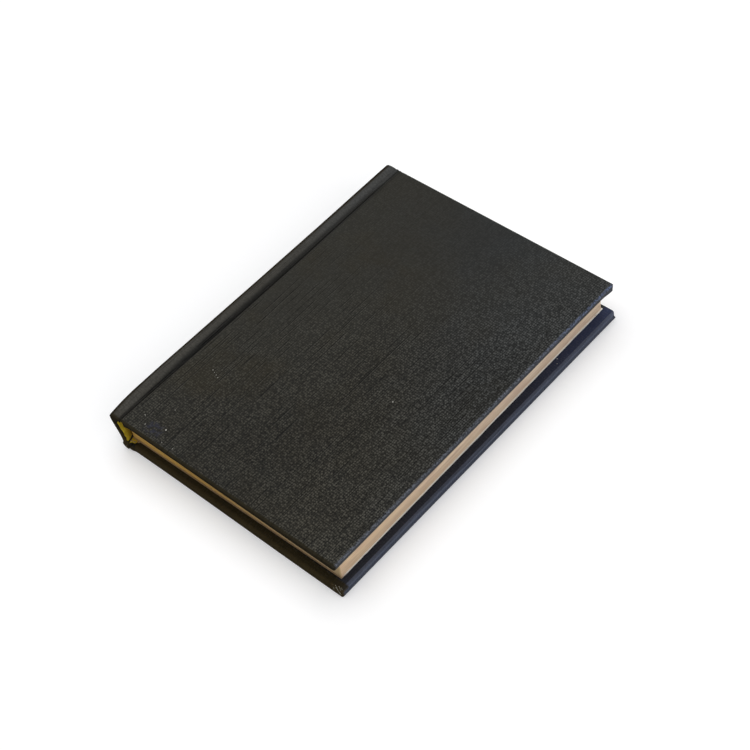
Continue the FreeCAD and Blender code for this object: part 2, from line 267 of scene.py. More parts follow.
def points_of(piece):
    """The points of a piece in millimetres, to be moved and put back."""
    spots = np.empty(len(piece.data.vertices) * 3)
    piece.data.vertices.foreach_get("co", spots)
    return spots.reshape(-1, 3) / MM


def put_points(piece, spots):
    """Puts the points of a piece at new places, in millimetres."""
    piece.data.vertices.foreach_set("co", (spots * MM).ravel())
    piece.data.update()


def ease(value, low, high):
    """0 below low, 1 above high and a smooth rise between."""
    share = np.clip((value - low) / (high - low), 0, 1)
    return share * share * (3 - 2 * share)


# The groove was pressed a little askew: along the book it moves away from the
# spine and grows shallower. The spine has bellied out, leans in at its lower tail
# corner, where the turned-in cloth stands out as a bead, and is high at its head.
SPOTS_ACROSS = (-54.8, -50.4, -47.7, -43.0)
SHIFT_AT_TAIL = (0.0, -0.2, -1.0, 0.0)
SHIFT_AT_HEAD = (0.0, 1.2, 0.3, 0.0)
GROOVE_RISE = 1.35
SPOTS_ALONG = (-77.0, -74.0, -70.0, -64.0, -50.0, 0.0, 50.0, 77.0)
SPINE_BELLY = (0.45, 0.9, 1.35, 1.7, 1.75, 1.2, 0.85, 0.65)
HEAD_RISE = 0.4
TAIL_LEAN = 3.2
BEAD = 0.8
BRUISE = 0.5
UNDERCUT = 0.5


def press(spots, side):
    """Moves points of the upper half to the shape that the joint was pressed and worn to.

    The side is 1 for the upper half and -1 for a half that is still to be turned under.
    """
    x, y, z = spots.T
    start = x.copy()
    height = MID_HEIGHT + side * (z - MID_HEIGHT)
    along = y / COVER_LENGTH
    if side > 0:
        x += (0.5 - along) * np.interp(start, SPOTS_ACROSS, SHIFT_AT_TAIL)
        x += (0.5 + along) * np.interp(start, SPOTS_ACROSS, SHIFT_AT_HEAD)
        groove = ease(start, -51.4, -50.3) * (1 - ease(start, -50.2, -47.9))
        z += GROOVE_RISE * ease(y, -10, 77) * groove
        z += HEAD_RISE * ease(y, 30, 77) * ease(z, 12, 17) * (1 - ease(start, -52.0, -50.0))
    belly = np.interp(y, SPOTS_ALONG, SPINE_BELLY)
    belly -= TAIL_LEAN * ease(-height, -17, -4) * (0.3 * ease(-y, 30, 77) + 0.7 * ease(-y, 67, 77))
    belly += BEAD * ease(-height, -3.2, -2.0) * ease(-y, 75.0, 76.6)
    x -= belly * (1 - ease(start, -53.4, -49.4))


def shorten(spots, overhang, tail_short):
    """Lets a cover reach a little further at the fore edge and less far at the tail.

    A cover that keeps its full length has a bruised tail edge, whose lower arris lies further in.
    """
    x, y, z = spots.T
    bruise = BRUISE * (1 - 0.55 * ease(x, -40, 55)) if tail_short == 0 else 0
    y += bruise * ease(-z, -17.6, -15.0) * ease(x, -49, -46) * ease(-y, 70, 76)
    undercut = UNDERCUT if tail_short == 0 else 0
    x -= undercut * ease(-z, -17.4, -15.2) * ease(x, 50, 54.6)
    y += tail_short * ease(x, -50.5, -46.5) * (1 - 0.8 * ease(x, -40, 55)) * ease(-y, 30, 77)
    x += overhang * ease(x, 20, 55)


def turn_under(piece):
    """Turns an upper half over into the lower half, with its faces still outwards."""
    open_piece(piece, "FACE")
    bpy.ops.mesh.select_all(action="SELECT")
    bpy.ops.transform.resize(value=(1, 1, -1), center_override=(0, 0, MID_HEIGHT * MM))
    bpy.ops.mesh.normals_make_consistent(inside=False)
    bpy.ops.object.mode_set(mode="OBJECT")


def finish_piece(piece, finish, slot_name, *nodes):
    """Gives a piece its material and hides the frame's nodes that it stands for. Its slot name is
    not used.
    """
    if "place" not in piece.data.attributes:
        keep_place(piece)
    piece.data.materials.append(finish)
    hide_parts(*nodes)


def stiff_board(name, overhang, tail_short):
    """A board, a little smaller than the cloth round it and cut for the upper half."""
    reach = COVER_LENGTH / 2 - BOARD_TRIM
    piece = block_out(
        name,
        (BOARD_EDGE + BOARD_TRIM, -reach, INSIDE + BOARD_TRIM),
        (FORE_EDGE - BOARD_TRIM, reach, BOOK_THICKNESS - BOARD_TRIM),
    )
    open_piece(piece, "EDGE")
    bpy.ops.mesh.select_all(action="SELECT")
    bpy.ops.mesh.bevel(offset=BOARD_ROUNDING * MM, segments=2, affect="EDGES")
    for x in (-45.5, -20, 20, 40):
        cut_at("X", x)
    for y in (-60, -30, 0, 30, 60):
        cut_at("Y", y)
    bpy.ops.object.mode_set(mode="OBJECT")
    spots = points_of(piece)
    shorten(spots, overhang, tail_short)
    put_points(piece, spots)
    return piece


greyboard, tree, surface = new_material("greyboard", 0.9, 0.2)
fibres = noise(tree, place_pattern(tree, (1, 0.25, 1)), 1.6, 5)
pulp = tint(tree, window(tree, fibres, 0.35, 0.7), (104, 98, 88), (146, 139, 126))
tree.links.new(pulp, surface.inputs["Base Color"])
raise_grain(tree, surface, fibres, 0.08)

BACK_OVERHANG = 0.7
BACK_SHORT = 0.9
front_board = stiff_board("front_stiff_board", overhang=0.0, tail_short=0.0)
close_piece()
back_board = stiff_board("back_stiff_board", BACK_OVERHANG, BACK_SHORT)
turn_under(back_board)
open_piece(back_board, "FACE")
close_piece()
for piece, side in ((front_board, "front"), (back_board, "back")):
    finish_piece(piece, greyboard, "greyboard", f"{side}_board")
    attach(piece, f"{side}_cover")

# ---- Spine inlay -------------------------------------------------------------
# A strip of thin manila card keeps the spine flat. It is glued to the back of
# the cloth, and its two long edges give with the joints when a cover opens.

CARD_THICKNESS = 0.5
CARD_SIDE = 1.5
CARD_SHORT = 1.5


def card_half(name, low, high):
    """Half of the card strip, between two heights and as bowed as the spine is."""
    reach = COVER_LENGTH / 2 - CARD_SHORT
    inner = SPINE_FACE + CLOTH + CARD_THICKNESS
    piece = block_out(name, (SPINE_FACE + CLOTH, -reach, low), (inner, reach, high))
    open_piece(piece, "EDGE")
    divide(piece, "Y", longer_than=40, cuts=30)
    divide(piece, "Z", longer_than=5, cuts=12)
    close_piece()
    spots = points_of(piece)
    press(spots, 1)
    put_points(piece, spots)
    finish_piece(piece, card, "inlay_card", "spine_inlay")
    return piece


card, tree, surface = new_material("inlay_card", 0.85, 0.25)
fibres = noise(tree, place_pattern(tree, (1, 0.2, 1)), 1.1, 4)
manila = tint(tree, window(tree, fibres, 0.3, 0.7), (150, 122, 84), (178, 150, 108))
tree.links.new(manila, surface.inputs["Base Color"])
raise_grain(tree, surface, fibres, 0.05)

front_card = card_half("front_spine_card", MID_HEIGHT, BOOK_THICKNESS - CARD_SIDE)
back_card = card_half("back_spine_card", CARD_SIDE, MID_HEIGHT)
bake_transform(front_card)
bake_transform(back_card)

# ---- Case cloth --------------------------------------------------------------
# One piece of black book cloth with a pebbled leather grain covers both boards
# and the spine. It is pressed into a groove along each joint, folded round the
# boards' edges and turned in. Here it is two halves that meet along the spine.

TURN_IN = 14.0
SUPPORT = 0.85
JOINT_ROOT = 17.38

# The joint's cloth leaves the board's edge, rises over the shoulder and runs
# down the spine: each step is a length in millimetres and a turn in degrees.
JOINT_PATH = (
    (0.5, 12), (0.5, 22), (0.5, 14), (0.45, 2), (0.45, 0), (0.3, -50), (0.35, -50),
    (0.35, -5), (0.4, 8), (0.4, 14), (0.4, 16), (0.45, 12), (0.75, 8), (0.75, 8), (0.65, 12),
    (0.5, 18), (0.45, 20), (0.45, 17), (0.5, 8), (0.6, 4), (1.4, 0), (2.6, 0), (3.2, 0),
)
HEM_START = COVER_LENGTH / 2 - TURN_IN
HEM_DEPTH = 1.15
HEM_BUNCH = 1.9
SHOULDER_ROOT = -51.8


def grow_along(path, at, heading):
    """Extrudes what is selected step by step from a spot, first with a heading in radians."""
    for length, turn in path:
        step = Vector((math.cos(heading), 0, math.sin(heading))) * length
        at += step
        grow(step.x, 0, step.z)
        bpy.ops.transform.rotate(
            value=math.radians(turn),
            orient_axis="Y",
            orient_type="GLOBAL",
            center_override=at * MM,
        )
        heading += math.radians(turn)


def keep_upper_half(piece):
    """Cuts off what lies below the middle of the closed book, and closes the cut."""
    open_piece(piece, "FACE")
    bpy.ops.mesh.select_all(action="SELECT")
    bpy.ops.mesh.bisect(
        plane_co=(0, 0, MID_HEIGHT * MM), plane_no=(0, 0, 1), clear_inner=True, use_fill=True
    )
    bpy.ops.object.mode_set(mode="OBJECT")


def case_half(name, head_corner, tail_corner):
    """The upper half of the case: a board in its cloth, the joint and half the spine."""
    head, tail, fore = COVER_LENGTH / 2, -COVER_LENGTH / 2, FORE_EDGE
    piece = block_out(name, (BOARD_EDGE, tail, INSIDE), (fore, head, INSIDE + CLOTH))
    open_piece(piece, "FACE")

    # The inside is sunk by the cloth's thickness between the turn-ins.
    pick_faces(piece, lambda middle, normal: normal.z < -0.9)
    bpy.ops.mesh.inset(thickness=SUPPORT * MM)
    bpy.ops.mesh.inset(thickness=(TURN_IN - SUPPORT) * MM)
    grow(z=CLOTH)

    # The edges rise to the outside, with a strip at the spine edge for the joint's cloth.
    pick_faces(piece, lambda middle, normal: normal.z > 0.9)
    level = INSIDE + CLOTH
    for rise_to in (JOINT_ROOT - SUPPORT, JOINT_ROOT, JOINT_ROOT + CLOTH, BOOK_THICKNESS):
        grow(z=rise_to - level)
        level = rise_to
    bpy.ops.mesh.inset(thickness=SUPPORT * MM)

    # The fore corners are worn round.
    for end, radius in ((head, head_corner), (tail, tail_corner)):
        pick_edges(
            piece,
            lambda middle, span: span.z > 0.3 and middle.x > 50 and abs(middle.y - end) < 0.1,
        )
        bpy.ops.mesh.bevel(offset=radius * MM, segments=3, affect="EDGES")

    # The joint's cloth runs from that strip over the shoulder and down the spine.
    pick_faces(
        piece,
        lambda middle, normal: normal.x < -0.9
        and JOINT_ROOT < middle.z < JOINT_ROOT + CLOTH
        and middle.x < BOARD_EDGE + 0.1,
    )
    grow_along(JOINT_PATH, Vector((BOARD_EDGE, 0, JOINT_ROOT + CLOTH / 2)), math.pi)

    # Cuts beside the folds keep them tight, and the rest is divided for the creases.
    for y in (head - SUPPORT, HEM_START, -HEM_START, tail + SUPPORT):
        cut_at("Y", y)
    for x in (BOARD_EDGE + SUPPORT, fore - SUPPORT):
        cut_at("X", x)
    divide(piece, "Y", longer_than=40, cuts=24)
    divide(piece, "X", longer_than=40, cuts=58)

    # At head and tail the spine's cloth is turned in, and bunched under the shoulder.
    pick_faces(
        piece,
        lambda middle, normal: (normal.x > 0.5 or normal.z < -0.5)
        and middle.x < SHOULDER_ROOT
        and middle.z > MID_HEIGHT - 0.7
        and abs(middle.y) > HEM_START,
    )
    bpy.ops.mesh.extrude_region_shrink_fatten(
        TRANSFORM_OT_shrink_fatten={"value": HEM_DEPTH * MM}
    )
    pick_faces(
        piece,
        lambda middle, normal: normal.z < -0.5
        and middle.x < SHOULDER_ROOT
        and middle.z > BOOK_THICKNESS - 2
        and abs(middle.y) > HEM_START,
    )
    grow(z=-HEM_BUNCH)
    bpy.ops.object.mode_set(mode="OBJECT")
    soften(piece, 2)
    keep_upper_half(piece)
    return piece


# Thin creases run along the cloth, and the turned-in cloth is bunched at the front
# cover's head fore corner.
CREASES = 90
CREASE_DEPTH = 0.12
BUNCH = 0.5


def wear_in(piece, seed, side, overhang, tail_short):
    """Presses the joint and creases the board's outside with long thin dents."""
    keep_place(piece, turned=side < 0)
    spots = points_of(piece)
    press(spots, side)
    shorten(spots, overhang, tail_short)
    x, y, z = spots.T
    if side > 0:
        corner = ease(x, 49, 54.5) * ease(y, 70, 76.5)
        z -= BUNCH * corner * ease(-z, -16.5, -14.9)
        x += 0.6 * BUNCH * corner * (1 - ease(z, 15.5, 17.6))
    outside = ease(z, BOOK_THICKNESS - 0.3, BOOK_THICKNESS - 0.05)
    chance = random.Random(seed)
    for _ in range(CREASES):
        middle = chance.uniform(-44, 54)
        reach = chance.uniform(4, 24)
        start = chance.uniform(-74, 74)
        lean = chance.gauss(0, 0.012)
        depth = chance.uniform(0.3, 1.0) * CREASE_DEPTH * (1 - 0.8 * ease(start, -10, 50))
        width = chance.uniform(0.4, 0.6)
        near = np.abs(x - middle) < 2.5
        off = x[near] - middle - lean * (y[near] - start)
        dent = np.exp(-((off / width) ** 2)) - 0.45 * np.exp(-(((off - 2.0 * width) / width) ** 2))
        fade = np.exp(-(((y[near] - start) / reach) ** 4))
        z[near] -= depth * dent * fade * outside[near]
    put_points(piece, spots)


def cells(tree, where, unevenness=1.0):
    """Cells, one a unit: each point's distance from its cell's middle, and each cell's numbers."""
    node = tree.nodes.new("ShaderNodeTexVoronoi")
    node.inputs["Scale"].default_value = 1.0
    node.inputs["Randomness"].default_value = unevenness
    tree.links.new(where, node.inputs["Vector"])
    return node


def axis_of(tree, where, axis):
    """One of a place's three measures, in millimetres."""
    node = tree.nodes.new("ShaderNodeSeparateXYZ")
    tree.links.new(where, node.inputs["Vector"])
    return node.outputs[axis]


def both(tree, first, second):
    """The product of two shares."""
    return work_out(tree, "MULTIPLY", first, second)


def rest_of(tree, share):
    """What a share leaves of one."""
    return work_out(tree, "SUBTRACT", 1.0, share)


def band(tree, value, low, high, fade):
    """1 between two values and a smooth fall on either side."""
    inside = window(tree, value, low - fade, low)
    return both(tree, inside, rest_of(tree, window(tree, value, high, high + fade)))


def filtered(tree, colour, film):
    """A colour as it is seen through a thin film of another."""
    node = tree.nodes.new("ShaderNodeVectorMath")
    node.operation = "MULTIPLY"
    tree.links.new(colour, node.inputs[0])
    tree.links.new(film, node.inputs[1])
    return node.outputs["Vector"]


def creases(tree, pace, width, start, end):
    """Broken crease lines along the book, about so many a millimetre, and the raised side of each,
    which the cloth paints as shade and as a highlight.
    """
    where = place_pattern(tree)
    sway = noise(tree, place_pattern(tree, (0.25, 0.012, 0.25)), 1.0, 2)
    across = both(tree, axis_of(tree, where, "X"), pace)
    steps = work_out(tree, "ADD", across, both(tree, sway, 1.2))
    number = work_out(tree, "FLOOR", steps, 0.0)
    off = work_out(tree, "SUBTRACT", work_out(tree, "SUBTRACT", steps, number), 0.5)
    off = both(tree, off, 1 / pace)
    line = rest_of(tree, window(tree, work_out(tree, "ABSOLUTE", off, 0.0), 0.0, width))
    raised = band(tree, off, width, 1.8 * width, 0.7 * width)
    own = tree.nodes.new("ShaderNodeCombineXYZ")
    tree.links.new(both(tree, number, 3.7), own.inputs["X"])
    tree.links.new(both(tree, axis_of(tree, where, "Y"), 0.045), own.inputs["Y"])
    own.inputs["Z"].default_value = 10 * pace
    gaps = window(tree, noise(tree, own.outputs["Vector"], 1.0, 2), start, end)
    return both(tree, line, gaps), both(tree, raised, gaps)


book_cloth, tree, surface = new_material("book_cloth", 0.55, 0.11)
where = place_pattern(tree)
x, y, z = (axis_of(tree, where, axis) for axis in "XYZ")

# The grain is coarsest at the tail fore corner, and worn flatter by the head and the spine.
on_spine = rest_of(tree, window(tree, x, SPINE_FACE + 3.8, SPINE_FACE + 6.2))
to_corner = work_out(tree, "SUBTRACT", both(tree, x, 0.0065), both(tree, y, 0.0047))
tail_calm = rest_of(tree, both(tree, window(tree, y, -58, -74), 0.15))
rough = both(tree, window(tree, to_corner, -0.36, 0.31), tail_calm)

# Pebbles, a fine roughness and broken creases with a raised side make the relief.
knots = cells(tree, place_pattern(tree, (1.2, 1.0, 1.348), (0, 0, 0.5)), 0.4)
pebbles = rest_of(tree, window(tree, knots.outputs["Distance"], 0.18, 0.64))
fine = noise(tree, where, 2.6, 4, 0.7)
line, raised = creases(tree, pace=0.4, width=0.24, start=0.46, end=0.58)
line_b, raised_b = creases(tree, pace=0.75, width=0.17, start=0.52, end=0.62)
streaks = work_out(tree, "ADD", 0.15, both(tree, band(tree, y, -65, 5, 35), 0.85))
line = both(tree, work_out(tree, "MAXIMUM", line, line_b), streaks)
raised = both(tree, work_out(tree, "MAXIMUM", raised, raised_b), streaks)

soft = rest_of(tree, both(tree, on_spine, 0.75))
relief = both(tree, both(tree, pebbles, rough), soft)
relief = work_out(tree, "ADD", relief, both(tree, fine, 0.4))
relief = work_out(tree, "SUBTRACT", relief, both(tree, line, 1.1))
relief = work_out(tree, "ADD", relief, both(tree, raised, 0.35))

# The tops are greyer than the hollows, partly from wear and partly as painted light,
# and the hollows are painted darker as shade. The pale specks are partly worn tops and
# partly painted glints. Warm rubbed patches lie on the spine side, the creases are
# painted nearly black as shade, and there is a smudge by the tail.
shade = tint(tree, window(tree, relief, 0.0, 1.1), (49, 49, 47), (82, 81, 77))
threads = cells(tree, place_pattern(tree, (3.2, 2.5, 3.2)))
tone = both(tree, axis_of(tree, threads.outputs["Color"], "X"), 0.6)
tone = work_out(tree, "ADD", tone, work_out(tree, "SUBTRACT", both(tree, pebbles, 0.76), 0.18))
speckle = tint(tree, work_out(tree, "POWER", tone, 1.15), (5, 5, 5), (90, 89, 85))
shade = tint(tree, work_out(tree, "ADD", 0.1, both(tree, rough, 0.83)), shade, speckle)
spine_side = tint(tree, window(tree, x, 0, 50), (220, 220, 220), (255, 255, 255))
shade = filtered(tree, shade, spine_side)
# A painted light tint: warm towards the spine and tail, cool towards the fore edge and head.
slant = work_out(tree, "ADD", both(tree, x, 0.0091), both(tree, y, 0.0065))
light_tint = tint(tree, window(tree, slant, -0.1, 0.6), (255, 252, 239), (240, 247, 255))
shade = filtered(tree, shade, light_tint)
patches = window(tree, noise(tree, where, 0.035, 3), 0.45, 0.65)
warm_side = both(tree, rest_of(tree, window(tree, x, -35, 25)), band(tree, y, -45, 35, 20))
patches = both(tree, patches, work_out(tree, "ADD", 0.12, both(tree, warm_side, 0.3)))
shade = tint(tree, patches, shade, (44, 39, 25))
# A painted highlight on the raised side of each crease, and painted shade in the crease itself.
shade = tint(tree, both(tree, raised, 0.14), shade, (88, 87, 81))
shade = tint(tree, both(tree, line, 0.75), shade, (7, 7, 6))
smudge = both(tree, band(tree, x, -38.5, -34.5, 2.5), band(tree, y, -73.5, -70.5, 2.0))
smudge = both(tree, smudge, window(tree, noise(tree, where, 0.5, 3), 0.4, 0.6))
shade = tint(tree, both(tree, smudge, 0.55), shade, (52, 54, 70))

# The ridge over the shoulder is painted paler, with a browner band outside it, and the
# crevice along the joint is painted dark as shade. A thin film of dust dulls all of it
# unevenly.
ends = work_out(tree, "MAXIMUM", window(tree, y, -58, -68), window(tree, y, 58, 70))
inner = work_out(tree, "ADD", work_out(tree, "SUBTRACT", x, both(tree, ends, 0.7)), 51.4)
on_ridge = both(tree, window(tree, x, -54.6, -52.8), rest_of(tree, window(tree, inner, 0.0, 1.1)))
ridge = tint(tree, window(tree, y, 0, 70), (74, 72, 67), (76, 77, 77))
shade = tint(tree, both(tree, on_ridge, 0.75), shade, ridge)
widened = work_out(tree, "SUBTRACT", x, both(tree, window(tree, y, -55, -70), 0.3))
outer = rest_of(tree, window(tree, widened, -54.2, -52.9))
shade = tint(tree, both(tree, outer, 0.85), shade, (47, 42, 34))
# Painted shade in the crevice along the joint, strongest towards the tail.
crevice_shade = both(tree, band(tree, x, -50.6, -49.8, 0.5), rest_of(tree, window(tree, y, -50, 60)))
shade = tint(tree, both(tree, crevice_shade, 0.6), shade, (11, 11, 10))
mottle = window(tree, noise(tree, where, 1.5, 5, 0.8), 0.3, 0.7)
film = tint(tree, rough, (222, 222, 222), (232, 232, 232))
film = tint(tree, on_ridge, film, (196, 196, 196))
shade = filtered(tree, shade, tint(tree, mottle, film, (255, 255, 255)))
broad = window(tree, noise(tree, where, 0.09, 3), 0.35, 0.65)
shade = filtered(tree, shade, tint(tree, broad, (246, 244, 241), (255, 255, 255)))
# A broad painted shade lies along the groove, except at its tail end, and weaker by the head.
within_ends = rest_of(tree, both(tree, ends, 0.5))
past_tail = both(tree, window(tree, y, -66, -40), within_ends)
groove_shade = both(tree, band(tree, x, -50.9, -49.4, 1.2), past_tail)
shade = tint(tree, both(tree, groove_shade, 0.75), shade, (15, 15, 14))

# The turned edges carry painted light: a cool slate reflection on the fore faces, pale
# blue painted highlights broken up by real wear along their arrises, a painted cool
# navy on the back turn-in by the fore edge, and a painted warm olive at the tail.
chips = cells(tree, place_pattern(tree, (2.4, 2.0, 2.4)))
worn = work_out(tree, "POWER", axis_of(tree, chips.outputs["Color"], "Y"), 1.5)
# The fore faces are painted slate as a cool reflected light, paler and bluer low down.
fore_face = window(tree, x, FORE_EDGE - 0.5, FORE_EDGE - 0.1)
slate = tint(tree, window(tree, z, 4, 12), (64, 70, 88), (54, 57, 66))
shade = tint(tree, both(tree, fore_face, 0.8), shade, slate)
# Pale blue painted highlights along the fore arrises, broken up by the worn cells.
arris = work_out(tree, "MAXIMUM", band(tree, z, 17.35, 17.9, 0.2), band(tree, z, 2.4, 3.1, 0.3))
edge_wear_and_highlight = both(tree, both(tree, window(tree, x, FORE_EDGE - 1.1, FORE_EDGE - 0.5), arris), worn)
pale_blue = tint(tree, window(tree, y, 20, 70), (106, 110, 120), (100, 112, 142))
shade = tint(tree, edge_wear_and_highlight, shade, pale_blue)
in_back = band(tree, z, 2.2, 3.4, 0.3)
inside_fore = both(tree, window(tree, x, 50, 51), rest_of(tree, window(tree, x, 53.9, 54.2)))
# The back turn-in by the fore edge is painted navy as a cool light, and its rim a pale slate
# highlight.
blue = tint(tree, window(tree, y, 10, 70), (43, 45, 55), (50, 58, 86))
rim = both(tree, in_back, window(tree, x, 53.9, 54.2))
shade = tint(tree, both(tree, rim, 0.85), shade, (82, 88, 106))
shade = tint(tree, both(tree, both(tree, in_back, inside_fore), 0.85), shade, blue)
# The back turn-in at the tail is painted a dark warm olive as shade.
back_tail = both(tree, in_back, rest_of(tree, window(tree, y, -74, -73)))
shade = tint(tree, both(tree, back_tail, 0.9), shade, (38, 31, 11))
# The tail faces are painted olive as a warm light, paler low down.
tail_face = rest_of(tree, window(tree, y, 0.5 - COVER_LENGTH / 2, 1.5 - COVER_LENGTH / 2))
olive = tint(tree, window(tree, z, 4, 14), (64, 56, 39), (44, 40, 30))
shade = tint(tree, both(tree, tail_face, 0.9), shade, olive)

matt = rest_of(tree, work_out(tree, "MAXIMUM", tail_face, outer))
tree.links.new(both(tree, matt, 0.11), surface.inputs["Specular IOR Level"])
tree.links.new(shade, surface.inputs["Base Color"])
gloss = work_out(tree, "SUBTRACT", 0.72, both(tree, pebbles, 0.2))
tree.links.new(gloss, surface.inputs["Roughness"])
raise_grain(tree, surface, relief, 0.24)

front_case = case_half("front_case_cloth", head_corner=0.5, tail_corner=0.8)
wear_in(front_case, seed=11, side=1, overhang=0.0, tail_short=0.0)
close_piece()
back_case = case_half("back_case_cloth", head_corner=1.6, tail_corner=1.1)
wear_in(back_case, seed=12, side=-1, overhang=BACK_OVERHANG, tail_short=BACK_SHORT)
turn_under(back_case)
open_piece(back_case, "FACE")
close_piece()

finish_piece(front_case, book_cloth, "book_cloth", "front_cover_cloth", "spine_cloth")
finish_piece(back_case, book_cloth, "book_cloth", "back_cover_cloth", "spine_cloth")
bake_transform(front_case)
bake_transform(back_case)

# ---- Spine liner -------------------------------------------------------------
# Bright yellow paper lines the hollow. It is glued round the inside of the
# spine and both shoulders, and its tail end is a little torn.

LINER = 0.4
LINER_SHORT = 0.4
HOLLOW = 0.45
LINER_FACE = SPINE_FACE + CLOTH + CARD_THICKNESS + HOLLOW
LINER_PATH = (
    (3.0, 0), (0.6, -10), (0.5, -20), (0.4, -22), (0.4, -20), (0.4, -14), (0.5, -4),
    (1.4, 0), (1.6, 0), (1.3, 0),
)


def liner_half(name):
    """The upper half of the liner, bent from the middle of the spine to its lip."""
    reach = COVER_LENGTH / 2 - LINER_SHORT
    piece = block_out(
        name, (LINER_FACE, -reach, MID_HEIGHT - 2), (LINER_FACE + LINER, reach, MID_HEIGHT + 1)
    )
    open_piece(piece, "FACE")
    pick_faces(piece, lambda middle, normal: normal.z > 0.9)
    grow_along(LINER_PATH, Vector((LINER_FACE + LINER / 2, 0, MID_HEIGHT + 1)), math.pi / 2)
    divide(piece, "Y", longer_than=40, cuts=60)
    bpy.ops.object.mode_set(mode="OBJECT")
    soften(piece, 1)
    keep_upper_half(piece)
    return piece


def tear_ends(piece, seed, side, depth):
    """Presses a liner into the shoulder and leaves its ends uneven and short of the cloth's."""
    spots = points_of(piece)
    x, y, z = spots.T
    chance = random.Random(seed)
    waves = [(chance.uniform(0.5, 3.0), chance.uniform(0, 6.3)) for _ in range(5)]
    ragged = sum(np.sin(x * pace + z * pace + turn) for pace, turn in waves)
    short = 0.3 + depth * (ragged + 3) / 5
    if side < 0:
        short += 1.0 * ease(x, -51.0, -49.6) * (y < 0)
    y -= np.sign(y) * ease(np.abs(y), 72, 76.6) * short
    press(spots, side)
    put_points(piece, spots)


yellow, tree, surface = new_material("liner_paper", 0.75, 0.25)
where = place_pattern(tree)
clouds = noise(tree, where, 0.5, 4)
ochre = tint(tree, window(tree, clouds, 0.3, 0.7), (176, 152, 30), (206, 186, 54))
# Away from its ends, deeper in the hollow, the paper is painted orange-brown as shade.
deep = window(tree, work_out(tree, "ABSOLUTE", axis_of(tree, where, "Y"), 0.0), 70.5, 76.0)
ochre = tint(tree, deep, (150, 92, 20), ochre)
tree.links.new(ochre, surface.inputs["Base Color"])
raise_grain(tree, surface, noise(tree, where, 2.5, 4), 0.05)

front_liner = liner_half("front_spine_liner")
back_liner = liner_half("back_spine_liner")
tear_ends(front_liner, seed=21, side=1, depth=0.3)
tear_ends(back_liner, seed=22, side=-1, depth=0.3)
turn_under(back_liner)
for piece in (front_liner, back_liner):
    open_piece(piece, "FACE")
    close_piece()
    finish_piece(piece, yellow, "liner_paper", "spine_liner")
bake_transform(front_liner)
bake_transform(back_liner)

# ---- Spine lining ------------------------------------------------------------
# Open gauze soaked in brown glue holds the sections of pages together along
# their folds.

gauze, tree, surface = new_material("glued_gauze", 0.7, 0.35)
lie = tree.nodes.new("ShaderNodeTexCoord")
weave = tree.nodes.new("ShaderNodeTexVoronoi")
weave.distance = "CHEBYCHEV"
weave.inputs["Scale"].default_value = 0.9 / MM
weave.inputs["Randomness"].default_value = 0.15
tree.links.new(lie.outputs["Object"], weave.inputs["Vector"])
threads = window(tree, weave.outputs["Distance"], 0.3, 0.5)
glue = tint(tree, threads, (116, 74, 30), (176, 142, 88))
tree.links.new(glue, surface.inputs["Base Color"])
raise_grain(tree, surface, threads, 0.1)
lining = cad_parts["spine_lining"]
lining.data.materials.clear()
lining.data.materials.append(gauze)

# ---- Page block --------------------------------------------------------------
# Six folded sections of thin paper are sewn, glued and trimmed as one block.
# The trimmed edges have gone tan, and the leaves no longer lie quite flush.

# The block's two corners before it is set askew.
pages_low, pages_high = box_of("page_block")
BLOCK_LOW = (-51.1, -72.8, pages_low[2])
BLOCK_HIGH = (51.5, 74.3, pages_high[2])
SECTIONS = 6
LEAVES = 8
SLIP = 0.035
FOLD_PINCH = 0.6


def page_block(name):
    """The block, built up leaf by leaf, with a pinch at the back between every two sections."""
    rise = (BLOCK_HIGH[2] - BLOCK_LOW[2]) / (SECTIONS * LEAVES)
    piece = block_out(name, BLOCK_LOW, (BLOCK_HIGH[0], BLOCK_HIGH[1], BLOCK_LOW[2] + rise))
    open_piece(piece, "FACE")
    pick_faces(piece, lambda middle, normal: normal.z > 0.9)
    chance = random.Random(31)
    for _ in range(1, SECTIONS * LEAVES):
        grow(chance.uniform(-SLIP, SLIP), chance.uniform(-SLIP, SLIP), rise)
    for fold in range(1, SECTIONS):
        level = BLOCK_LOW[2] + fold * LEAVES * rise
        pick_points(piece, lambda spot: spot.x < -50 and abs(spot.z - level) < rise / 2)
        bpy.ops.transform.translate(value=(FOLD_PINCH * MM, 0, 0))
    divide(piece, "Y", longer_than=40, cuts=50)
    divide(piece, "X", longer_than=40, cuts=30)
    close_piece(30)
    return piece


paper, tree, surface = new_material("page_paper", 0.85, 0.2)
where = place_pattern(tree)
x, y, z = (axis_of(tree, where, axis) for axis in "XYZ")
layers = noise(tree, place_pattern(tree, (0.02, 0.02, 2.2)), 1.0, 6, 0.75)
leaves = window(tree, layers, 0.3, 0.7)
blotches = noise(tree, place_pattern(tree, (0.1, 0.1, 0.5)), 1.0, 3)
tan = tint(tree, leaves, (206, 178, 148), (252, 236, 214))
near_tail = rest_of(tree, window(tree, y, -70, 40))
tan = tint(tree, both(tree, near_tail, 0.5), tan, (240, 206, 158))
near_foot = rest_of(tree, window(tree, z, 4, 9))
tan = tint(tree, both(tree, near_foot, 0.35), tan, (204, 176, 150))
tan = tint(tree, both(tree, window(tree, blotches, 0.4, 0.7), 0.4), tan, (196, 160, 142))
# The tail edge is painted golden as a warm light on that side, less so towards the fore corner.
golden = tint(tree, leaves, (186, 140, 62), (208, 172, 96))
golden = tint(tree, window(tree, x, -30, 48), golden, (196, 170, 130))
at_tail = rest_of(tree, window(tree, y, BLOCK_LOW[1] + 0.2, BLOCK_LOW[1] + 0.7))
tree.links.new(tint(tree, at_tail, tan, golden), surface.inputs["Base Color"])
raise_grain(tree, surface, layers, 0.12)

pages = page_block("page_leaves")
SKEW = math.radians(0.4)
SKEW_ABOUT = (0.2 * MM, 0.75 * MM, 0)


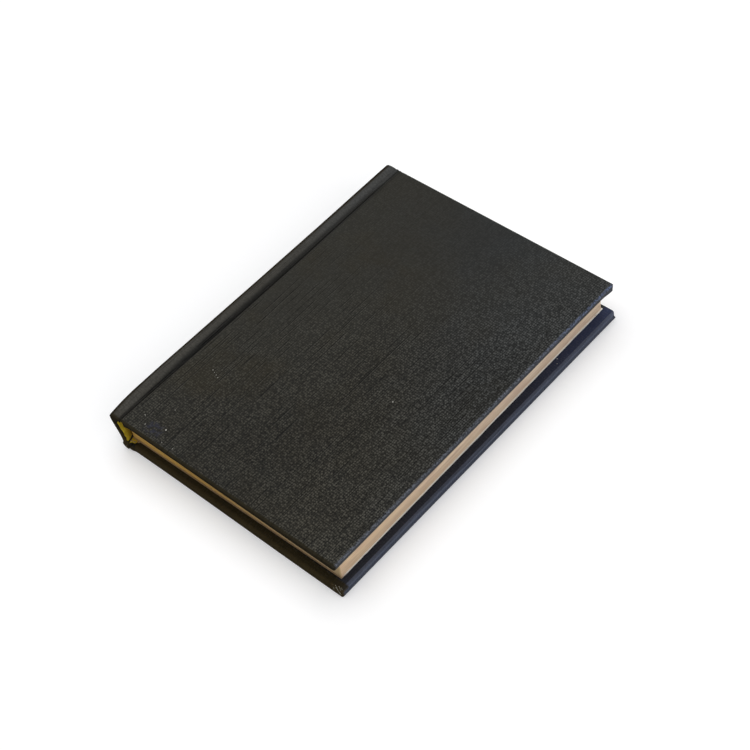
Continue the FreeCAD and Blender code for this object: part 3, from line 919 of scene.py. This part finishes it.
def set_askew(piece):
    """Turns what is glued to the pages with them: they sit a little askew in the case."""
    open_piece(piece, "FACE")
    bpy.ops.mesh.select_all(action="SELECT")
    bpy.ops.transform.rotate(
        value=-SKEW, orient_axis="Z", orient_type="GLOBAL", center_override=SKEW_ABOUT
    )
    bpy.ops.object.mode_set(mode="OBJECT")


finish_piece(pages, paper, "page_paper", "page_block")
set_askew(pages)
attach(pages, "book_block")

# ---- Flyleaves ---------------------------------------------------------------
# The free leaf of each endpaper lies on the pages. It is a stiffer, paler paper.
# The back one stands a little past the others and has small tears in its edge.

FLYLEAF = 0.2

endpaper, tree, surface = new_material("endpaper", 0.8, 0.2)
where = place_pattern(tree)
x, y, z = (axis_of(tree, where, axis) for axis in "XYZ")
clouds = noise(tree, where, 0.06, 4)
pale = tint(tree, window(tree, clouds, 0.3, 0.7), (226, 218, 208), (238, 232, 224))
rim = noise(tree, where, 0.9, 4)
pale = tint(tree, both(tree, window(tree, rim, 0.5, 0.7), 0.35), pale, (205, 184, 166))
pale = tint(tree, window(tree, x, 51.2, 51.6), pale, (255, 253, 248))
# Near the tail the paper is painted golden brown as a warm light.
warm_tail_light = rest_of(tree, window(tree, y, BLOCK_LOW[1] - 0.4, BLOCK_LOW[1] + 3.3))
pale = tint(tree, both(tree, warm_tail_light, 0.85), pale, (132, 100, 54))
tree.links.new(pale, surface.inputs["Base Color"])
raise_grain(tree, surface, noise(tree, where, 2.0, 4), 0.03)


def flyleaf(name, low, proud):
    """A leaf over the whole block, which may stand proud of its three trimmed edges."""
    piece = block_out(
        name,
        (BLOCK_LOW[0], BLOCK_LOW[1] - proud, low),
        (BLOCK_HIGH[0] + proud, BLOCK_HIGH[1] + proud, low + FLYLEAF),
    )
    open_piece(piece, "FACE")
    divide(piece, "Y", longer_than=40, cuts=160)
    divide(piece, "X", longer_than=40, cuts=60)
    close_piece(30)
    return piece


def ripple(piece, seed, depth):
    """Moves a leaf's fore edge in and out a little, as trimmed and handled paper lies."""
    spots = points_of(piece)
    chance = random.Random(seed)
    waves = [(chance.uniform(0.05, 0.9), chance.uniform(0, 6.3)) for _ in range(6)]
    sway = sum(np.sin(spots[:, 1] * pace + turn) for pace, turn in waves) / len(waves)
    spots[:, 0] += depth * sway * ease(spots[:, 0], 48, 51)
    return spots


TEARS = ((70.3, 0.5, 0.6), (57.3, 0.9, 0.4), (-20.0, 0.4, 0.3), (-61.0, 0.5, 0.35))
front_leaf = flyleaf("front_flyleaf_sheet", BLOCK_HIGH[2], proud=0.0)
put_points(front_leaf, ripple(front_leaf, seed=41, depth=0.05))
back_leaf = flyleaf("back_flyleaf_sheet", BLOCK_LOW[2] - FLYLEAF, proud=0.4)
spots = ripple(back_leaf, seed=42, depth=0.08)
for middle, width, depth in TEARS:
    bite = np.exp(-(((spots[:, 1] - middle) / width) ** 2))
    spots[:, 0] -= depth * bite * ease(spots[:, 0], 50.5, 51.2)
put_points(back_leaf, spots)
for piece, node in ((front_leaf, "front_flyleaf"), (back_leaf, "back_flyleaf")):
    finish_piece(piece, endpaper, "endpaper", node)
    set_askew(piece)
    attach(piece, "book_block")

# ---- Pastedowns --------------------------------------------------------------
# The other half of each endpaper is pasted inside its cover over the turned-in
# cloth, and bends at the joint. It sinks a little where the turn-ins end.

PASTE_SPINE = -50.9
PASTE_FORE = 51.3
PASTE_TAIL = 72.3
PASTE_HEAD = 73.4
PASTE_SINK = 0.3
PASTE_SLOPE = 1.2


def pastedown(name):
    """The pasted leaf inside the upper cover, cut closely where it bends at the joint."""
    piece = block_out(
        name,
        (PASTE_SPINE, -PASTE_TAIL, INSIDE - FLYLEAF),
        (PASTE_FORE, PASTE_HEAD, INSIDE),
    )
    open_piece(piece, "FACE")
    for step in range(16):
        cut_at("X", -50.6 + 0.25 * step)
    divide(piece, "Y", longer_than=40, cuts=90)
    divide(piece, "X", longer_than=40, cuts=90)
    bpy.ops.object.mode_set(mode="OBJECT")
    spots = points_of(piece)
    x, y, z = spots.T
    inner_y = COVER_LENGTH / 2 - TURN_IN
    sunk = ease(x, BOARD_EDGE + TURN_IN, BOARD_EDGE + TURN_IN + PASTE_SLOPE)
    sunk *= 1 - ease(x, FORE_EDGE - TURN_IN - PASTE_SLOPE, FORE_EDGE - TURN_IN)
    sunk *= 1 - ease(np.abs(y), inner_y - PASTE_SLOPE, inner_y)
    z += PASTE_SINK * sunk
    put_points(piece, spots)
    open_piece(piece, "FACE")
    close_piece(30)
    return piece


front_paste = pastedown("front_pastedown_sheet")
back_paste = pastedown("back_pastedown_sheet")
turn_under(back_paste)
for piece, node in ((front_paste, "front_pastedown"), (back_paste, "back_pastedown")):
    finish_piece(piece, endpaper, "endpaper", node)
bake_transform(front_paste)
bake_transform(back_paste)

# ---- Scraps of paper ---------------------------------------------------------
# Small scraps of the endpapers' pale paper have torn off. They have caught at the
# tail of the spine, where the liner is torn too.


def scrap(name, corners, thickness, finish):
    """A flat torn bit of paper: an outline, given with its height, and made as thick as paper."""
    shape = bpy.data.meshes.new(name)
    shape.from_pydata([[c * MM for c in corner] for corner in corners], [], [range(len(corners))])
    piece = bpy.data.objects.new(name, shape)
    bpy.context.collection.objects.link(piece)
    open_piece(piece, "FACE")
    bpy.ops.mesh.select_all(action="SELECT")
    bpy.ops.mesh.poke()
    bpy.ops.mesh.subdivide(number_cuts=2, fractal=0.25, seed=len(corners))
    bpy.ops.mesh.normals_make_consistent(inside=False)
    bpy.ops.object.mode_set(mode="OBJECT")
    wall = piece.modifiers.new("paper", "SOLIDIFY")
    wall.thickness = thickness * MM
    bpy.ops.object.modifier_apply(modifier=wall.name)
    open_piece(piece, "FACE")
    close_piece(30)
    keep_place(piece)
    piece.data.materials.append(finish)
    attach(piece, "book_block")


SCRAPS = ((-49.9, -75.0, 3.45, 0.55), (-48.6, -74.7, 3.6, 0.6), (-47.2, -74.0, 3.55, 0.7))
for count, (at_x, at_y, at_z, reach) in enumerate(SCRAPS):
    corners = [
        (at_x - reach, at_y - 0.15, at_z),
        (at_x + 0.1, at_y - 0.4, at_z + 0.25),
        (at_x + reach, at_y + 0.05, at_z + 0.1),
        (at_x + 0.1, at_y + 0.3, at_z),
    ]
    scrap(f"pale_scrap_{count + 1}", corners, thickness=0.12, finish=endpaper)

# ---- Lint and frayed threads -------------------------------------------------
# Specks of pale lint lie on the front cover and inside the back one. Short ends
# of the cloth's cotton threads stand out at the back cover's worn tail corner.

lint, tree, surface = new_material("pale_lint", 0.9, 0.2)
fluff = noise(tree, place_pattern(tree), 4.0, 3)
white = tint(tree, fluff, (168, 166, 158), (226, 224, 216))
tree.links.new(white, surface.inputs["Base Color"])

SPECKS = (
    (-32.7, -69.8, 0.32), (-36.5, -61.4, 0.15), (-43.9, -69.5, 0.17), (-40.9, -72.4, 0.16),
    (25.2, -12.3, 0.24), (-38.3, -39.9, 0.16), (-37.0, -40.4, 0.15), (-35.7, -40.9, 0.14),
    (-34.3, -41.4, 0.16), (-24.8, -74.4, 0.14), (-30.0, -74.6, 0.13),
)
INSIDE_SPECKS = ((52.2, 46.4, 0.16), (53.6, 44.5, 0.13))
chance = random.Random(51)
for count, (x, y, width) in enumerate(SPECKS + INSIDE_SPECKS):
    outside = count < len(SPECKS)
    height = BOOK_THICKNESS if outside else BOOK_THICKNESS - INSIDE
    bpy.ops.mesh.primitive_ico_sphere_add(
        subdivisions=2, radius=width * MM, location=(x * MM, y * MM, height * MM)
    )
    speck = bpy.context.object
    speck.scale = (chance.uniform(0.7, 1.3), chance.uniform(0.6, 1.1), 0.45)
    speck.rotation_euler.z = chance.uniform(0, 3)
    speck.name = f"lint_{count + 1}"
    bpy.ops.object.transform_apply(location=True, rotation=True, scale=True)
    bpy.ops.object.shade_smooth()
    keep_place(speck)
    speck.data.materials.append(lint)
    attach(speck, "front_cover" if outside else "back_cover")

thread, tree, surface = new_material("frayed_cotton", 0.9, 0.2)
twist = window(tree, noise(tree, place_pattern(tree), 3.0, 3), 0.3, 0.7)
cotton = tint(tree, twist, (60, 58, 54), (176, 172, 160))
tree.links.new(cotton, surface.inputs["Base Color"])

THREAD = 0.11
FRAYS = (
    ((52.2, -75.8, 3.0), (53.2, -76.3, 3.35), (54.1, -76.9, 3.1)),
    ((52.9, -76.4, 2.9), (54.0, -76.7, 3.3), (54.7, -77.0, 2.7)),
    ((53.4, -75.4, 3.05), (54.4, -75.9, 3.4), (55.3, -76.5, 2.9)),
    ((54.0, -76.5, 2.6), (54.9, -76.9, 2.3), (55.6, -76.9, 1.6)),
    ((54.6, -75.4, 3.0), (55.4, -75.9, 2.9), (55.9, -76.2, 2.1)),
    ((51.4, -76.2, 2.9), (52.2, -76.8, 2.8), (52.6, -77.1, 2.2)),
)
for count, points in enumerate(FRAYS):
    start, middle, end = (Vector(point) * MM for point in points)
    bpy.ops.mesh.primitive_circle_add(
        vertices=6, radius=THREAD * MM, fill_type="NGON", location=start
    )
    fray = bpy.context.object
    fray.name = f"fray_{count + 1}"
    fray.rotation_euler = (middle - start).to_track_quat("Z", "Y").to_euler()
    bpy.ops.object.transform_apply(location=True, rotation=True, scale=True)
    open_piece(fray, "FACE")
    bpy.ops.mesh.select_all(action="SELECT")
    for here, there, size in ((start, middle, 0.9), (middle, end, 0.5)):
        bpy.ops.mesh.extrude_region_move(TRANSFORM_OT_translate={"value": there - here})
        bpy.ops.transform.resize(value=(size, size, size), center_override=there)
    bpy.ops.mesh.select_all(action="SELECT")
    bpy.ops.mesh.normals_make_consistent(inside=False)
    close_piece(60)
    keep_place(fray)
    fray.data.materials.append(thread)
    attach(fray, "back_cover")

# ---- Floor and lights --------------------------------------------------------
# The book lies on a white floor. Soft light comes from all round, with one broad
# lamp overhead and a weaker one from the fore edge's side.

FLOOR_DROP = 0.2


def seen_share(tree):
    """1 for what the camera sees, straight or mirrored, and 0 for light on its way elsewhere."""
    path = tree.nodes.new("ShaderNodeLightPath")
    return work_out(tree, "MAXIMUM", path.outputs["Is Camera Ray"], path.outputs["Is Glossy Ray"])


bpy.ops.object.select_all(action="DESELECT")
bpy.ops.mesh.primitive_plane_add(size=6, location=(0, 0, -FLOOR_DROP * MM))
floor = bpy.context.object
floor.name = "floor"
bpy.ops.object.transform_apply(location=True, rotation=True, scale=True)
floor_white = bpy.data.materials.new("white_floor")
floor_white.use_nodes = True
tree = floor_white.node_tree
tree.nodes.clear()
out = tree.nodes.new("ShaderNodeOutputMaterial")
matt_white = tree.nodes.new("ShaderNodeBsdfDiffuse")
matt_white.inputs["Color"].default_value = (0.857, 0.859, 0.867, 1)
glow = tree.nodes.new("ShaderNodeEmission")
glow.inputs["Color"].default_value = (1, 1, 1, 1)
tree.links.new(both(tree, seen_share(tree), 0.225), glow.inputs["Strength"])
total = tree.nodes.new("ShaderNodeAddShader")
tree.links.new(matt_white.outputs[0], total.inputs[0])
tree.links.new(glow.outputs[0], total.inputs[1])
tree.links.new(total.outputs[0], out.inputs["Surface"])
floor.data.materials.append(floor_white)

scene = bpy.context.scene
world = bpy.data.worlds.new("studio")
scene.world = world
world.use_nodes = True
tree = world.node_tree
tree.nodes.clear()
out = tree.nodes.new("ShaderNodeOutputWorld")
sky = tree.nodes.new("ShaderNodeBackground")
sky.inputs["Color"].default_value = (1, 1, 1, 1)
strength = work_out(tree, "ADD", 0.24, both(tree, seen_share(tree), 0.76))
tree.links.new(strength, sky.inputs["Strength"])
tree.links.new(sky.outputs[0], out.inputs["Surface"])

for name, energy, spread, direction in (
    ("overhead", 1.9, 72, (-0.26, 0.13, 1.0)),
    ("fill", 0.85, 60, (1.0, -0.15, 0.6)),
):
    sun_data = bpy.data.lights.new(name, "SUN")
    sun_data.energy = energy
    sun_data.angle = math.radians(spread)
    sun = bpy.data.objects.new(name, sun_data)
    scene.collection.objects.link(sun)
    sun.rotation_euler = Vector(direction).to_track_quat("Z", "Y").to_euler()

# The camera stands above the tail fore corner, with the book seen a little from its end.
lens = bpy.data.cameras.new("camera")
lens.lens = 88.934
lens.sensor_width = 36
camera = bpy.data.objects.new("camera", lens)
scene.collection.objects.link(camera)
stand = Vector((337.05, -281.85, 528.46)) * MM
right = Vector((0.74512, 0.65581, -0.12124))
up = Vector((-0.4535, 0.6315, 0.6290))
back = Vector((0.48905, -0.41368, 0.76792))
turned = Matrix((right, up, back)).transposed().to_4x4()
camera.matrix_world = Matrix.Translation(stand) @ turned
scene.camera = camera
scene.view_settings.view_transform = "Standard"
